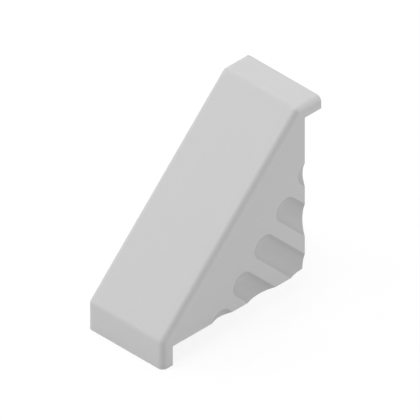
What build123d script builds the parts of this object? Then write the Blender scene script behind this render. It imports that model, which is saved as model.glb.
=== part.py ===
"""Gusset cover cap: a moulded shell that closes the open side of a right-angled bracket.

The cap is one piece.  A sloping panel joins two short lips, one over the end of each flange
of the bracket, and two side walls hide its cheeks.  The side walls stop short of the framing
to leave room for the flanges, so only the lips reach it.

Frame, in millimetres.  X runs across the cap, which is the same on both sides of X = 0.
Y runs back from the front lip to the upright framing, and Z runs up from the level framing.
The origin is on the level framing, midway between the front lip and the upright framing.
"""

import os
from math import sqrt

from build123d import *

# Outer size
REACH = 80.0            # length along each arm of the bracket, level and upright alike
WIDTH = 38.0            # across the outsides of the side walls
LIP_HEIGHT = 11.85      # from the framing to the corner between a lip and the panel

# Room for the bracket's flanges, and the strips beside them
FLANGE = 8.3            # how far the side walls stay clear of the framing
STRIP = 5.1             # how far the ends of a lip reach back beside its flange

# Moulded shell
WALL = 2.4              # panel, lips and side walls
BEND_RADIUS = 2.5       # outer corners between the panel and the lips
EDGE_RADIUS = 2.3       # outer edges where the panel and the lips meet the side walls
CORE_RADIUS = 0.8       # corners and long edges inside the hollow

# Shallow channels in the outside of each side wall
CHANNEL_COUNT = 5
CHANNEL_PITCH = 15.4
CHANNEL_WIDTH = 9.9     # at the face of the wall, before its rims are rounded
CHANNEL_DEPTH = 1.25    # in the middle of the channel
CHANNEL_SETBACK = 19.7  # from the face of the panel to the round end of each channel
RIM_RADIUS = 1.2        # rounding where a channel meets the face of the wall

# Ribs inside each side wall, which grip the cheeks of the bracket
GRIP_WIDTH = 1.6
GRIP_HEIGHT = 0.5
GRIP_RAMP = 3.0         # length of the lead-in at the open end of a rib
GRIP_SETBACK = 4.0      # from that end to the edge of the side wall

# Faces of the front lip and of the upright framing
FRONT = -REACH / 2
BACK = REACH / 2

# Face of each side wall inside the hollow
INSIDE = WIDTH / 2 - WALL

# The cap slides onto the bracket along DRAW, square to the panel; CLIMB runs up the panel
ACROSS = Vector(1, 0, 0)
DRAW = Vector(0, 1, -1).normalized()
CLIMB = Vector(0, 1, 1).normalized()

# From the face of the panel, along the draw, to the right-angled corner of the side walls
WALL_DEPTH = (REACH + LIP_HEIGHT - 2 * FLANGE) / sqrt(2)
PANEL_MIDDLE = Vector(0, BACK - FLANGE, FLANGE) - DRAW * WALL_DEPTH

# The channel is an arc of this radius, with its centre line outside the wall
CHANNEL_RADIUS = (CHANNEL_WIDTH**2 / 4 + CHANNEL_DEPTH**2) / (2 * CHANNEL_DEPTH)
CHANNEL_LINE = WIDTH / 2 - CHANNEL_DEPTH + CHANNEL_RADIUS

# Middles of the channels and of the ridges between them, measured up the panel
CHANNEL_ROWS = [(row - (CHANNEL_COUNT - 1) / 2) * CHANNEL_PITCH for row in range(CHANNEL_COUNT)]
RIDGE_ROWS = [row + CHANNEL_PITCH / 2 for row in CHANNEL_ROWS[:-1]]


def skin_edges(solid):
    """Edges of both side faces, apart from those at the back and at the foot."""
    edges = solid.faces().filter_by(Axis.X).edges()
    return edges - edges.group_by(Axis.Y)[-1] - edges.group_by(Axis.Z)[0]


def rim_edges(new_edges):
    """New edges that lie in the faces of the side walls, apart from their straight borders."""
    rims = [
        edge
        for edge in new_edges - new_edges.filter_by(Axis.Y) - new_edges.filter_by(Axis.Z)
        if abs(edge.bounding_box().max.X - edge.bounding_box().min.X) < 0.001
        and abs(abs(edge.center().X) - WIDTH / 2) < 0.001
    ]
    return rims


# Block that fills the corner, from the framing to the outer skin of the cap
with BuildPart() as block:
    with BuildSketch(Plane.YZ) as skin:
        with BuildLine():
            Polyline(
                (FRONT, 0),
                (FRONT, LIP_HEIGHT),
                (BACK - LIP_HEIGHT, REACH),
                (BACK, REACH),
                (BACK, 0),
                close=True,
            )
        make_face()
        fillet(skin.vertices().sort_by(Axis((0, 0, 0), (1, -1, 0)))[:2], radius=BEND_RADIUS)
    extrude(amount=WIDTH / 2, both=True)
    fillet(skin_edges(block), radius=EDGE_RADIUS)

# Hollow of the shell: the skin moved in by the wall, and run out past the framing
with BuildPart() as hollow:
    with BuildSketch(Plane.YZ) as lining:
        with BuildLine():
            Polyline(
                (FRONT, -2 * WALL),
                (FRONT, LIP_HEIGHT),
                (BACK - LIP_HEIGHT, REACH),
                (BACK + 2 * WALL, REACH),
                (BACK + 2 * WALL, -2 * WALL),
                close=True,
            )
        make_face()
        offset(amount=-WALL, kind=Kind.INTERSECTION)
        fillet(lining.vertices().sort_by(Axis((0, 0, 0), (1, -1, 0)))[:2], radius=CORE_RADIUS)
    extrude(amount=INSIDE, both=True)
    fillet(skin_edges(hollow), radius=CORE_RADIUS)

# One channel: a rod with a ball end, laid along the draw from its place on the panel's face
with BuildPart() as channel:
    with BuildSketch(Plane(origin=(0, 0, 0), x_dir=DRAW, z_dir=CLIMB)):
        ball = CHANNEL_SETBACK + CHANNEL_WIDTH / 2
        with BuildLine():
            CenterArc((ball, 0), CHANNEL_RADIUS, 90, 90)
            Polyline(
                (ball, CHANNEL_RADIUS),
                (REACH, CHANNEL_RADIUS),
                (REACH, 0),
                (ball - CHANNEL_RADIUS, 0),
            )
        make_face()
    revolve(axis=Axis((0, 0, 0), DRAW))

# Grip ribs, behind the ridges between the channels, where the side wall is thickest
with BuildPart() as grips:
    for row in RIDGE_ROWS:
        open_end = WALL_DEPTH - abs(row) - GRIP_SETBACK
        foot = PANEL_MIDDLE + CLIMB * row + ACROSS * INSIDE
        with BuildSketch(Plane(origin=foot, x_dir=DRAW, z_dir=CLIMB)):
            with BuildLine():
                Polyline(
                    (WALL / 2, -WALL / 2),
                    (WALL / 2, GRIP_HEIGHT),
                    (open_end - GRIP_RAMP, GRIP_HEIGHT),
                    (open_end, 0),
                    (open_end, -WALL / 2),
                    close=True,
                )
            make_face()
        extrude(amount=GRIP_WIDTH / 2, both=True)
    mirror(about=Plane.YZ)

with BuildPart() as cover_cap:
    add(block.part)

    # Channels, with their rims rounded where they meet the faces of the side walls
    channel_starts = [
        PANEL_MIDDLE + CLIMB * row + ACROSS * side * CHANNEL_LINE
        for side in (-1, 1)
        for row in CHANNEL_ROWS
    ]
    with Locations(*channel_starts):
        add(channel.part, mode=Mode.SUBTRACT)
    fillet(rim_edges(cover_cap.edges(Select.LAST)), radius=RIM_RADIUS)

    # Room for the two flanges, which leaves the strips at the ends of the lips
    with BuildSketch(Plane.YZ):
        with BuildLine():
            Polyline(
                (FRONT + STRIP, 0),
                (FRONT + STRIP, FLANGE),
                (BACK - FLANGE, FLANGE),
                (BACK - FLANGE, REACH - STRIP),
                (BACK, REACH - STRIP),
                (BACK, 0),
                close=True,
            )
        make_face()
    extrude(amount=WIDTH / 2, both=True, mode=Mode.SUBTRACT)

    add(hollow.part, mode=Mode.SUBTRACT)
    add(grips.part)

cover_cap.part.label = "cover_cap"

os.makedirs("parts", exist_ok=True)
export_step(cover_cap.part, "parts/cover_cap.step")
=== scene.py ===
"""Looks of the gusset cover cap: its moulded finish, the studio round it and the camera.

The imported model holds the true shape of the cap, with its channels, lips and grip ribs, so
its node is shown as it is and takes its material from here.  All lengths are in metres, in
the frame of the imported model: X across the cap, Y back to the upright framing, Z up.
"""

import logging
from dataclasses import dataclass, field
from enum import Enum
from math import cos, radians, sin

import bmesh
import bpy
from bpy.types import Material, Node, NodeSocket, NodeTree, Object
from mathutils import Matrix, Vector


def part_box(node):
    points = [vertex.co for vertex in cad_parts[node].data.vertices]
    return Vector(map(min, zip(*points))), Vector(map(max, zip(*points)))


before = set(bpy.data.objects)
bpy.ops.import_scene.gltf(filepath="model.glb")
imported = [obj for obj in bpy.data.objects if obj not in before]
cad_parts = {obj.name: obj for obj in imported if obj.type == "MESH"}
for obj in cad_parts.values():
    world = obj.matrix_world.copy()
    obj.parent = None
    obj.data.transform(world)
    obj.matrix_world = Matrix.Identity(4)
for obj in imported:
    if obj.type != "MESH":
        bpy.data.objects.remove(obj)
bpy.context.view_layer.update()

MILLIMETRE = 0.001
CAP_NODE = "cover_cap"

ACROSS = Vector((1, 0, 0))
UP = Vector((0, 0, 1))
WHITE = (1.0, 1.0, 1.0, 1.0)

# Mean value of a noise pattern
PATTERN_MEAN = 0.5

# Where a smooth step starts and ends, or its results on either side
Span = tuple[float, float]

log = logging.getLogger("cover_cap")


class RayKind(Enum):
    """Kinds of ray that see the plain background instead of the light of the studio."""

    CAMERA = "Is Camera Ray"
    GLOSSY = "Is Glossy Ray"
    TRANSMISSION = "Is Transmission Ray"


class NodeGraph:
    """Node tree with short calls for the nodes that the finish and the studio use."""

    def __init__(self, tree: NodeTree) -> None:
        """Take over a node tree and empty it.

        Args:
            tree: Node tree of a material or of the world.
        """
        self.tree = tree
        self.tree.nodes.clear()

    def node(self, kind: str, label: str = "", **inputs: object) -> Node:
        """Add a node and fill in its inputs.

        Args:
            kind: Blender's identifier of the node type.
            label: What the node stands for, in words.
            **inputs: Value or output socket for each named input, with _ for a space.

        Returns:
            The new node.
        """
        new = self.tree.nodes.new(kind)
        new.label = label
        for key, value in inputs.items():
            self.feed(new.inputs[key.replace("_", " ")], value)
        return new

    def feed(self, socket: NodeSocket, value: object) -> None:
        """Link an output to an input socket, or set the socket to a plain value.

        Args:
            socket: Input socket to fill.
            value: Output socket, number, vector or colour.
        """
        if isinstance(value, NodeSocket):
            self.tree.links.new(value, socket)
        else:
            socket.default_value = value

    def maths(
        self, operation: str, first: object, second: object = 0.0, label: str = ""
    ) -> NodeSocket:
        """Add a Math node.

        Args:
            operation: Blender's name of the operation.
            first: First number or output socket.
            second: Second number or output socket.
            label: What the result stands for, in words.

        Returns:
            The node's output.
        """
        new = self.node("ShaderNodeMath", label)
        new.operation = operation
        self.feed(new.inputs[0], first)
        self.feed(new.inputs[1], second)
        return new.outputs[0]

    def product(self, *factors: object, label: str = "") -> NodeSocket:
        """Multiply two or more factors.

        Args:
            *factors: Numbers or output sockets.
            label: What the result stands for, in words.

        Returns:
            Output with the product.
        """
        result = factors[0]
        for factor in factors[1:]:
            result = self.maths("MULTIPLY", result, factor, label)
        return result

    def vector_maths(self, operation: str, vector: object, label: str) -> Node:
        """Add a Vector Math node for one vector.

        Args:
            operation: Blender's name of the operation.
            vector: Vector or output socket.
            label: What the result stands for, in words.

        Returns:
            The new node.
        """
        new = self.node("ShaderNodeVectorMath", label)
        new.operation = operation
        self.feed(new.inputs[0], vector)
        return new

    def dot(self, vector: NodeSocket, direction: Vector, label: str) -> NodeSocket:
        """Measure a vector along a fixed direction.

        Args:
            vector: Output socket with the vector.
            direction: Direction to measure along.
            label: What the result stands for, in words.

        Returns:
            Output with the length along that direction.
        """
        new = self.vector_maths("DOT_PRODUCT", vector, label)
        self.feed(new.inputs[1], direction)
        return new.outputs["Value"]

    def ramp(
        self, value: object, step: Span, ends: Span = (0.0, 1.0), label: str = ""
    ) -> NodeSocket:
        """Turn a value into a smooth step.

        Args:
            value: Output socket with the value.
            step: Values where the step starts and where it ends.
            ends: Results below the step and above it.
            label: What the result stands for, in words.

        Returns:
            Output of the step, which stays between its ends.
        """
        new = self.node("ShaderNodeMapRange", label, Value=value)
        new.interpolation_type = "SMOOTHSTEP"
        for name, limit in zip(("From Min", "From Max", "To Min", "To Max"), step + ends):
            new.inputs[name].default_value = limit
        return new.outputs["Result"]

    def speckle(
        self, place: NodeSocket, grain: float, label: str, layers: float = 2.0
    ) -> NodeSocket:
        """Add a noise pattern of a given grain.

        Args:
            place: Output socket with the place on the piece.
            grain: Size of one grain.
            label: What the pattern stands for, in words.
            layers: How many finer layers the pattern has.

        Returns:
            Output of the pattern, whose mean is PATTERN_MEAN.
        """
        new = self.node("ShaderNodeTexNoise", label, Vector=place, Scale=1 / grain, Detail=layers)
        return new.outputs["Fac"]

    def background_share(self) -> NodeSocket:
        """Tell the rays that see the plain background from the rays that carry light.

        Returns:
            Output that is 1 for the rays of each RayKind.
        """
        path = self.node("ShaderNodeLightPath", "kind of ray")
        share = path.outputs[RayKind.CAMERA.value]
        for kind in (RayKind.GLOSSY, RayKind.TRANSMISSION):
            share = self.maths("MAXIMUM", share, path.outputs[kind.value])
        return share

    def blend(self, share: NodeSocket, first: NodeSocket, second: NodeSocket) -> NodeSocket:
        """Blend two shaders.

        Args:
            share: Output socket with the share of the second shader.
            first: Output of the first shader.
            second: Output of the second shader.

        Returns:
            Output of the blend.
        """
        mix = self.node("ShaderNodeMixShader", Fac=share)
        self.feed(mix.inputs[1], first)
        self.feed(mix.inputs[2], second)
        return mix.outputs[0]


class MaterialGraph(NodeGraph):
    """Node tree of a new material."""

    def __init__(self, name: str) -> None:
        """Make the material and start its node tree.

        Args:
            name: Name of the material.
        """
        self.material = bpy.data.materials.new(name)
        self.material.use_nodes = True
        super().__init__(self.material.node_tree)


@dataclass(frozen=True)
class PaintedChannelShade:
    """Painted shade in the recessed channels of the side walls, where shade falls, with a painted
    lean of light and shade across them.

    Attributes:
        rim: Painted shade along the rims of a channel.
        floor: Painted shade on its floor.
        rim_step: Step from the rim to the floor, in shares of the channel's depth.
        closed_end: Further painted shade where a channel starts.
        closed_end_length: How far into the channel that shade fades away.
        painted_lean_up: Painted shade on the side that faces up the panel, which turns to painted
            light on the side that faces down.
        painted_lean_end: Painted shade on the closed end, which leans towards the corner.
        face_step: Step below the wall's face, in shares of the channel's depth.
        hollow_step: Step that leaves out the inside of the wall, in the same shares.
        facing_step: Step that leaves out cut edges, by how squarely a surface faces sideways.
        start_step: Step where the tone starts, seen from the closed end.
    """

    # Painted shade: these values stand in for the shade that falls in the recessed channels.
    rim: float = 0.78
    floor: float = 0.875
    rim_step: Span = (0.1, 0.9)
    closed_end: float = 0.950
    closed_end_length: float = 6 * MILLIMETRE
    painted_lean_up: float = 0.15
    painted_lean_end: float = 0.10
    face_step: Span = (0.008, 0.040)
    hollow_step: Span = (1.3, 1.5)
    facing_step: Span = (0.75, 0.85)
    start_step: Span = (-0.6 * MILLIMETRE, -0.5 * MILLIMETRE)

    def factor(
        self, graph: NodeGraph, place: NodeSocket, normal: NodeSocket, cap: "CoverCap"
    ) -> NodeSocket:
        """Paint shade into the channels and leave the rest of the cap as it is.

        Args:
            graph: Node tree to add to.
            place: Output socket with the place on the cap.
            normal: Output socket with the direction that the surface faces.
            cap: The cap, which says where its channels lie.

        Returns:
            Output with a factor of 1 outside the channels.
        """
        sideways = graph.maths("ABSOLUTE", graph.dot(place, ACROSS, "across the cap"))
        below = graph.maths("SUBTRACT", cap.half_width, sideways, "depth below the side wall")
        depth = graph.maths("DIVIDE", below, cap.channel_depth, "share of the channel's depth")
        along = graph.dot(place, cap.draw, "along the draw")
        run = graph.maths("SUBTRACT", along, cap.channel_start, "distance into the channel")
        inside = self.inside(graph, depth, run, normal)
        tone = self.tone(graph, depth, run, self.painted_lean(graph, normal, cap))
        # Painted shade: the channels are darkened where shade falls in the recesses.
        lack = graph.product(
            inside, graph.maths("SUBTRACT", 1.0, tone), label="darkening in the channels"
        )
        return graph.maths("SUBTRACT", 1.0, lack, "channel factor")

    def inside(
        self, graph: NodeGraph, depth: NodeSocket, run: NodeSocket, normal: NodeSocket
    ) -> NodeSocket:
        """Find the surface of the channels.

        Args:
            graph: Node tree to add to.
            depth: Output socket with the share of the channel's depth.
            run: Output socket with the distance into the channel.
            normal: Output socket with the direction that the surface faces.

        Returns:
            Output that is 1 in a channel and 0 elsewhere.
        """
        facing = graph.maths("ABSOLUTE", graph.dot(normal, ACROSS, "faces sideways"))
        return graph.product(
            graph.ramp(depth, self.face_step, label="below the wall's face"),
            graph.ramp(depth, self.hollow_step, (1.0, 0.0), "above the hollow"),
            graph.ramp(facing, self.facing_step, label="not on a cut edge"),
            graph.ramp(run, self.start_step, label="past the closed end"),
            label="in a channel",
        )

    def tone(
        self, graph: NodeGraph, depth: NodeSocket, run: NodeSocket, painted_lean: NodeSocket
    ) -> NodeSocket:
        """Paint shade into a channel by its depth, towards its closed end and by the lean of its
        surface.

        Args:
            graph: Node tree to add to.
            depth: Output socket with the share of the channel's depth.
            run: Output socket with the distance into the channel.
            painted_lean: Output socket with the painted lean of light and shade.

        Returns:
            Output with the painted shade, where 1 is the plain plastic.
        """
        return graph.product(
            graph.ramp(depth, self.rim_step, (self.rim, self.floor), "rim to floor"),
            graph.ramp(run, (0.0, self.closed_end_length), (self.closed_end, 1.0), "closed end"),
            graph.maths("SUBTRACT", 1.0, painted_lean),
            label="shade of the channel",
        )

    def painted_lean(self, graph: NodeGraph, normal: NodeSocket, cap: "CoverCap") -> NodeSocket:
        """Paint shade on the side that faces up and on the closed end, and light on the side that
        faces down.

        Args:
            graph: Node tree to add to.
            normal: Output socket with the direction that the surface faces.
            cap: The cap, which says how its channels lie.

        Returns:
            Output with the painted shade, which goes below 0 as painted light on the side that
            faces down.
        """
        # Painted lean: shade on surfaces that face up or towards the corner, painted light on
        # those that face down.
        below = graph.dot(normal, cap.climb, "leans up the panel")
        end = graph.dot(normal, cap.draw, "leans to the corner")
        return graph.maths(
            "ADD",
            graph.product(below, self.painted_lean_up),
            graph.product(end, self.painted_lean_end),
            "trace of dust",
        )


@dataclass(frozen=True)
class MouldedFinish:
    """Light grey matt plastic, as it comes out of a finely eroded mould.

    The colour drifts a little where the melt has flowed, and the skin carries faint orange
    peel and the fine grain of the mould.

    Attributes:
        grey: Base colour.
        refraction: Refractive index of the plastic.
        roughness: Mean roughness.
        roughness_spread: How far it varies to either side.
        sheen_step: Step of the pattern that spreads the roughness.
        flow_grain: Size of the patches where the melt has flowed.
        flow_contrast: How far their shade varies.
        flow_layers: Layers of that pattern.
        skin_grain: Grain of the mould.
        skin_contrast: How far its shade varies.
        skin_relief: Depth of the grain.
        skin_layers: Layers of the relief.
        peel_grain: Length of the waves of the orange peel.
        peel_relief: Height of those waves.
        channels: Painted shade in the channels.
    """

    grey: tuple[float, float, float] = (0.610, 0.610, 0.610)
    refraction: float = 1.5
    roughness: float = 0.58
    roughness_spread: float = 0.05
    sheen_step: Span = (0.25, 0.75)
    flow_grain: float = 22 * MILLIMETRE
    flow_contrast: float = 0.006
    flow_layers: float = 1.0
    skin_grain: float = 0.20 * MILLIMETRE
    skin_contrast: float = 0.075
    skin_relief: float = 0.018 * MILLIMETRE
    skin_layers: float = 3.0
    peel_grain: float = 2.4 * MILLIMETRE
    peel_relief: float = 0.022 * MILLIMETRE
    channels: PaintedChannelShade = PaintedChannelShade()

    def dress(self, cap: "CoverCap") -> Material:
        """Make the material for a cap.

        Args:
            cap: The cap, which says where its channels lie.

        Returns:
            The finished material.
        """
        graph = MaterialGraph("moulded_grey_plastic")
        coordinates = graph.node("ShaderNodeTexCoord", "place on the cap")
        place = coordinates.outputs["Object"]
        # Random drift and grain of the plastic, times the painted shade in the channels.
        shade = graph.product(
            self.flow_shade(graph, place),
            self.channels.factor(graph, place, coordinates.outputs["Normal"], cap),
            label="shade of the plastic",
        )
        colour = graph.vector_maths("SCALE", self.grey, "shaded grey")
        graph.feed(colour.inputs["Scale"], shade)
        shader = graph.node(
            "ShaderNodeBsdfPrincipled",
            "moulded plastic",
            Base_Color=colour.outputs["Vector"],
            Roughness=self.skin_roughness(graph, place),
            IOR=self.refraction,
            Normal=self.skin_normal(graph, place),
        )
        graph.node("ShaderNodeOutputMaterial", Surface=shader.outputs["BSDF"])
        return graph.material

    def flow_shade(self, graph: NodeGraph, place: NodeSocket) -> NodeSocket:
        """Vary the shade where the melt has flowed, and from grain to grain of the skin.

        Args:
            graph: Node tree to add to.
            place: Output socket with the place on the cap.

        Returns:
            Output with a factor close to 1.
        """
        flow = graph.speckle(place, self.flow_grain, "drift of the melt", self.flow_layers)
        skin = graph.speckle(place, self.skin_grain, "grain of the skin")
        drift, fleck = (
            graph.product(graph.maths("SUBTRACT", pattern, PATTERN_MEAN), contrast / PATTERN_MEAN)
            for pattern, contrast in ((flow, self.flow_contrast), (skin, self.skin_contrast))
        )
        return graph.maths("ADD", 1.0, graph.maths("ADD", drift, fleck), "drift and grain")

    def skin_roughness(self, graph: NodeGraph, place: NodeSocket) -> NodeSocket:
        """Vary the roughness a little over the skin.

        Args:
            graph: Node tree to add to.
            place: Output socket with the place on the cap.

        Returns:
            Output with the roughness.
        """
        patches = graph.speckle(place, self.peel_grain, "patches of sheen")
        spread = (self.roughness - self.roughness_spread, self.roughness + self.roughness_spread)
        return graph.ramp(patches, self.sheen_step, spread, "roughness of the skin")

    def skin_normal(self, graph: NodeGraph, place: NodeSocket) -> NodeSocket:
        """Raise the faint orange peel of the melt and the grain of the mould.

        Args:
            graph: Node tree to add to.
            place: Output socket with the place on the cap.

        Returns:
            Output with the bent normal.
        """
        peel = graph.node(
            "ShaderNodeBump",
            "orange peel",
            Height=graph.speckle(place, self.peel_grain, "waves of the melt"),
            Distance=self.peel_relief,
        )
        grain = graph.node(
            "ShaderNodeBump",
            "grain of the mould",
            Height=graph.speckle(place, self.skin_grain, "eroded pits", self.skin_layers),
            Distance=self.skin_relief,
            Normal=peel.outputs["Normal"],
        )
        return grain.outputs["Normal"]


@dataclass
class CoverCap:
    """The moulded cap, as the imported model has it, with the places that its finish needs.

    Attributes:
        lip_height: From the framing to the corner between a lip and the panel.
        channel_setback: From the face of the panel to the closed ends of the channels.
        channel_depth: Depth in the middle of a channel.
        finish: Finish of the whole cap.
    """

    lip_height: float = 11.85 * MILLIMETRE
    channel_setback: float = 19.7 * MILLIMETRE
    channel_depth: float = 1.25 * MILLIMETRE
    finish: MouldedFinish = field(default_factory=MouldedFinish)

    def __post_init__(self) -> None:
        """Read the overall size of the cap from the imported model."""
        self.low, self.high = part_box(CAP_NODE)
        self.half_width = (self.high.x - self.low.x) / 2
        self.draw = Vector((0, 1, -1)).normalized()
        self.climb = Vector((0, 1, 1)).normalized()
        panel_edge = Vector((0, self.low.y, self.low.z + self.lip_height))
        self.channel_start = self.draw.dot(panel_edge) + self.channel_setback

    def build(self) -> Object:
        """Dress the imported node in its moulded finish.

        Returns:
            The dressed node.
        """
        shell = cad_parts[CAP_NODE]
        shell.data.materials.clear()
        shell.data.materials.append(self.finish.dress(self))
        return shell


def towards(azimuth: float, elevation: float) -> Vector:
    """Find the direction that a viewer or a lamp lies in.

    Args:
        azimuth: Degrees round the cap, with 0 in front of it and 90 on its right.
        elevation: Degrees above the horizon.

    Returns:
        Unit vector from the cap.
    """
    turn, rise = radians(azimuth), radians(elevation)
    return Vector((sin(turn) * cos(rise), -cos(turn) * cos(rise), sin(rise)))


@dataclass(frozen=True)
class Lamp:
    """A square soft light that points at the cap from a fixed distance.

    Attributes:
        name: Name of the lamp.
        azimuth: Degrees round the cap, as for towards().
        elevation: Degrees above the horizon.
        power: Power in watts.
        side: Side of the square.
        distance: Distance from the point that it looks at.
    """

    name: str
    azimuth: float
    elevation: float
    power: float
    side: float = 0.60
    distance: float = 1.20

    def hang(self, aim: Vector) -> Object:
        """Hang the lamp in the studio.

        Args:
            aim: Point that the lamp looks at.

        Returns:
            The lamp.
        """
        light = bpy.data.lights.new(self.name, "AREA")
        light.shape = "SQUARE"
        light.size = self.side
        light.energy = self.power
        lamp = bpy.data.objects.new(self.name, light)
        back = towards(self.azimuth, self.elevation)
        lamp.location = aim + back * self.distance
        lamp.rotation_mode = "QUATERNION"
        lamp.rotation_quaternion = back.to_track_quat("Z", "Y")
        bpy.context.scene.collection.objects.link(lamp)
        return lamp


@dataclass
class Studio:
    """Plain pale room: a floor under the cap, an even glow and a few soft lamps.

    Attributes:
        floor_half: Half the side of the floor.
        floor_grey: Grey of the floor for the rays that carry light.
        floor_level: Height of the floor, a hair above the foot of the front lip.
        shown_grey: Grey of the floor as it is seen, which sets how strong its shadow shows.
        floor_glow: Glow that makes the seen floor white near the cap.
        edge_glow: The same glow far from the cap.
        fade_step: Distances between which the one glow turns into the other.
        glow: Strength of the even glow round the cap.
        lamps: The soft lamps.
    """

    floor_half: float = 1.5
    floor_grey: float = 0.93
    floor_level: float = 0.02 * MILLIMETRE
    shown_grey: float = 0.15
    floor_glow: float = 0.865
    edge_glow: float = 0.94
    fade_step: Span = (0.12, 0.80)
    glow: float = 0.340
    lamps: tuple[Lamp, ...] = (
        Lamp("left_lamp", -45, 20, 4.17),
        Lamp("high_lamp", -140, 50, 2.52),
        Lamp("top_lamp", 0, 85, 5.90),
        Lamp("right_lamp", 150, 8, 3.92, side=0.30),
    )

    def build(self, aim: Vector) -> None:
        """Set up the floor, the glow and the lamps.

        Args:
            aim: Point that the lamps look at.
        """
        self.lay_floor()
        self.light_room()
        for lamp in self.lamps:
            lamp.hang(aim)
            log.info("%s: %.2f W", lamp.name, lamp.power)

    def lay_floor(self) -> None:
        """Lay a pale floor that keeps the shadow and can't be seen from below.

        It lies a hair above the foot of the front lip, so the foot is lit when it is seen.
        """
        shape = bmesh.new()
        bmesh.ops.create_grid(shape, x_segments=1, y_segments=1, size=self.floor_half)
        bmesh.ops.translate(shape, vec=(0, 0, self.floor_level), verts=shape.verts)
        mesh = bpy.data.meshes.new("floor")
        shape.to_mesh(mesh)
        shape.free()
        floor = bpy.data.objects.new("floor", mesh)
        bpy.context.scene.collection.objects.link(floor)
        mesh.materials.append(self.floor_paint())

    def floor_paint(self) -> Material:
        """Make the floor matt and white as it is seen, and clear from below.

        Returns:
            The material of the floor.
        """
        graph = MaterialGraph("pale_floor")
        share = graph.background_share()
        greys = (self.floor_grey, self.shown_grey)
        grey = graph.ramp(share, (0.0, 1.0), greys, "grey of the floor")
        matt = graph.node("ShaderNodeBsdfDiffuse", "pale floor", Color=grey)
        place = graph.node("ShaderNodeTexCoord", "place on the floor").outputs["Object"]
        away = graph.vector_maths("LENGTH", place, "distance from the cap").outputs["Value"]
        fade = graph.ramp(away, self.fade_step, (self.floor_glow, self.edge_glow), "far floor")
        strength = graph.product(share, fade)
        glow = graph.node("ShaderNodeEmission", "background", Strength=strength)
        both = graph.node("ShaderNodeAddShader")
        graph.feed(both.inputs[0], matt.outputs[0])
        graph.feed(both.inputs[1], glow.outputs[0])
        clear = graph.node("ShaderNodeBsdfTransparent", "seen from below")
        side = graph.node("ShaderNodeNewGeometry", "side of the floor").outputs["Backfacing"]
        surface = graph.blend(side, both.outputs[0], clear.outputs[0])
        graph.node("ShaderNodeOutputMaterial", Surface=surface)
        return graph.material

    def light_room(self) -> None:
        """Fill the room with an even glow, and show it as white behind the cap."""
        world = bpy.data.worlds.new("studio")
        bpy.context.scene.world = world
        world.use_nodes = True
        graph = NodeGraph(world.node_tree)
        glow = graph.node("ShaderNodeBackground", "even glow", Color=WHITE, Strength=self.glow)
        white = graph.node("ShaderNodeBackground", "white background", Color=WHITE)
        share = graph.background_share()
        surface = graph.blend(share, glow.outputs[0], white.outputs[0])
        graph.node("ShaderNodeOutputWorld", Surface=surface)


@dataclass
class PhotoCamera:
    """Camera of the photograph: a true isometric view without perspective.

    Attributes:
        frame_pixels: Width and height of the photograph.
        metres_per_pixel: Scale of the photograph.
        origin_pixel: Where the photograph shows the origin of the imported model.
        azimuth: Degrees round the cap, as for towards().
        elevation: Degrees above the horizon.
        distance: Distance from the plane that it looks at.
    """

    frame_pixels: float = 420.0
    metres_per_pixel: float = 0.35674 * MILLIMETRE
    origin_pixel: tuple[float, float] = (204.33, 303.68)
    azimuth: float = 45.0
    elevation: float = 35.2644
    distance: float = 0.60

    def build(self) -> Object:
        """Make the camera and hand the scene to it.

        Returns:
            The camera.
        """
        back = towards(self.azimuth, self.elevation)
        right = UP.cross(back).normalized()
        up = back.cross(right)
        middle = self.frame_pixels / 2
        aim = (
            right * (middle - self.origin_pixel[0]) - up * (middle - self.origin_pixel[1])
        ) * self.metres_per_pixel
        data = bpy.data.cameras.new("camera")
        data.type = "ORTHO"
        data.ortho_scale = self.frame_pixels * self.metres_per_pixel
        camera = bpy.data.objects.new("camera", data)
        turn = Matrix((right, up, back)).transposed().to_4x4()
        camera.matrix_world = Matrix.Translation(aim + back * self.distance) @ turn
        bpy.context.scene.collection.objects.link(camera)
        bpy.context.scene.camera = camera
        log.info("camera: %.1f mm across the frame", data.ortho_scale / MILLIMETRE)
        return camera


def main() -> None:
    """Dress the cap, light it and aim the camera at it."""
    logging.basicConfig(level=logging.INFO, format="%(name)s %(message)s")
    cap = CoverCap()
    cap.build()
    Studio().build((cap.low + cap.high) / 2)
    PhotoCamera().build()
    bpy.context.scene.view_settings.view_transform = "Standard"


if __name__ == "__main__":
    main()
